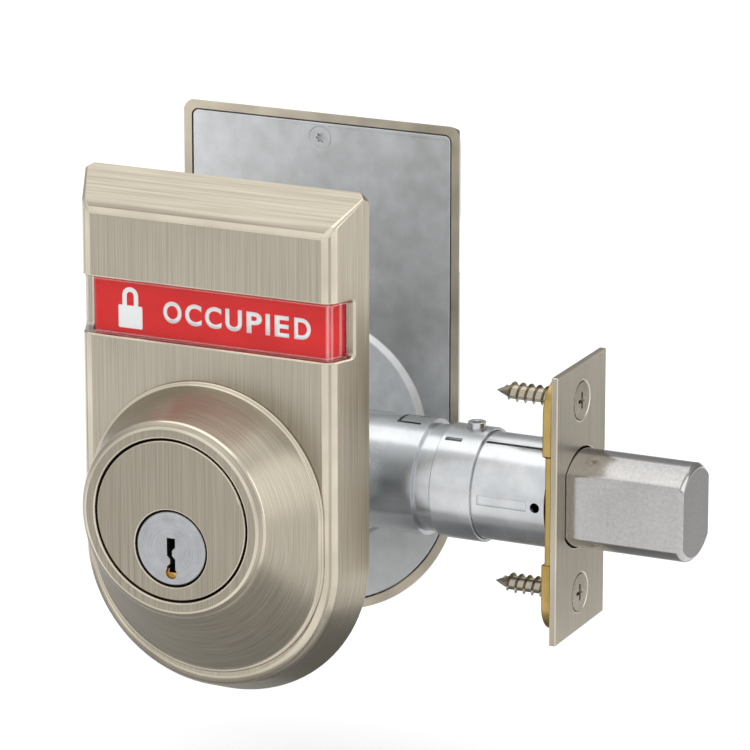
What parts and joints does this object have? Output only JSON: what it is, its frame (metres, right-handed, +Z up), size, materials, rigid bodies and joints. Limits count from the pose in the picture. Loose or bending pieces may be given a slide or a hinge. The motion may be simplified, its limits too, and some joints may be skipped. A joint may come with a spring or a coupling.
{
  "type": "toilet indicator bolt",
  "caption": "Tubular deadbolt for a toilet door with a key cylinder outside, a thumbturn inside, and sliding red or green occupancy labels behind a wrap-round window in each escutcheon.",
  "frame": {"origin": "centre of the door's cross bore, on the bolt's axis and midway between the door's faces", "axes": "+X along the bolt to the door's edge, -Y out of the outside face, +Y into the room, +Z up"},
  "size_m": [0.1275, 0.1122, 0.1142],
  "materials": {
    "satin_nickel": "satin nickel plating with fine brushing",
    "zinc_plate": "bright zinc plating",
    "bolt_steel": "smooth nickel-plated steel",
    "plug_steel": "turned nickel plating",
    "brass": "bare brass",
    "red_label": "printed label",
    "green_label": "printed label",
    "white_plastic": "moulded",
    "clear_lens": "clear acrylic"
  },
  "bodies": {
    "housing": {"outside_escutcheon": "satin_nickel", "cylinder_collar": "satin_nickel", "outside_lens": "clear_lens", "outside_back_plate": "zinc_plate", "outside_plate_screws": "zinc_plate", "cylinder_shell": "satin_nickel", "driver_pins": "brass", "pin_springs": "bolt_steel", "spring_cover": "brass", "inside_escutcheon": "satin_nickel", "inside_lens": "clear_lens", "inside_back_plate": "zinc_plate", "inside_plate_screws": "zinc_plate", "thumbturn_rose": "satin_nickel", "through_bolts": "bolt_steel", "faceplate": "satin_nickel", "backing_plate": "brass", "faceplate_screws": "satin_nickel", "front_tube": "zinc_plate", "backset_collar": "zinc_plate", "collar_stud": "zinc_plate", "rear_housing": "zinc_plate"},
    "spindle": {"tailpiece": "bolt_steel", "outside_crank": "zinc_plate", "thumbturn": "satin_nickel", "thumbturn_clip": "bolt_steel", "inside_crank": "zinc_plate", "bolt_crank": "zinc_plate"},
    "bolt": {"deadbolt": "bolt_steel", "anti_saw_pin": "bolt_steel", "bolt_tail": "zinc_plate", "tail_rivet": "bolt_steel"},
    "outside_indicator": {"outside_carrier": "white_plastic", "outside_red_label": "red_label", "outside_green_label": "green_label"},
    "inside_indicator": {"inside_carrier": "white_plastic", "inside_red_label": "red_label", "inside_green_label": "green_label"},
    "plug": {"key_plug": "plug_steel", "bottom_pins": "brass", "plug_cap": "brass"}
  },
  "joints": [
    {"name": "bolt_slide", "type": "slide", "parent": "housing", "child": "bolt", "axis": [-1, 0, 0], "range_m": [0, 0.0245]},
    {"name": "thumbturn_turn", "type": "hinge", "parent": "housing", "child": "spindle", "pos_m": [0, 0, -0.0066], "axis": [0, -1, 0], "range_deg": [0, 90]},
    {"name": "outside_label_slide", "type": "slide", "parent": "housing", "child": "outside_indicator", "axis": [0, 0, -1], "range_m": [0, 0.0125]},
    {"name": "inside_label_slide", "type": "slide", "parent": "housing", "child": "inside_indicator", "axis": [0, 0, -1], "range_m": [0, 0.0125]},
    {"name": "key_turn", "type": "hinge", "parent": "housing", "child": "plug", "pos_m": [0, 0, -0.0066], "axis": [0, -1, 0], "range_deg": [-90, 90]}
  ],
  "couplings": [
    {"joint": "thumbturn_turn", "follows": "bolt_slide", "rad_per_m": 64.114},
    {"joint": "outside_label_slide", "follows": "bolt_slide", "ratio": 0.5102},
    {"joint": "inside_label_slide", "follows": "bolt_slide", "ratio": 0.5102}
  ]
}
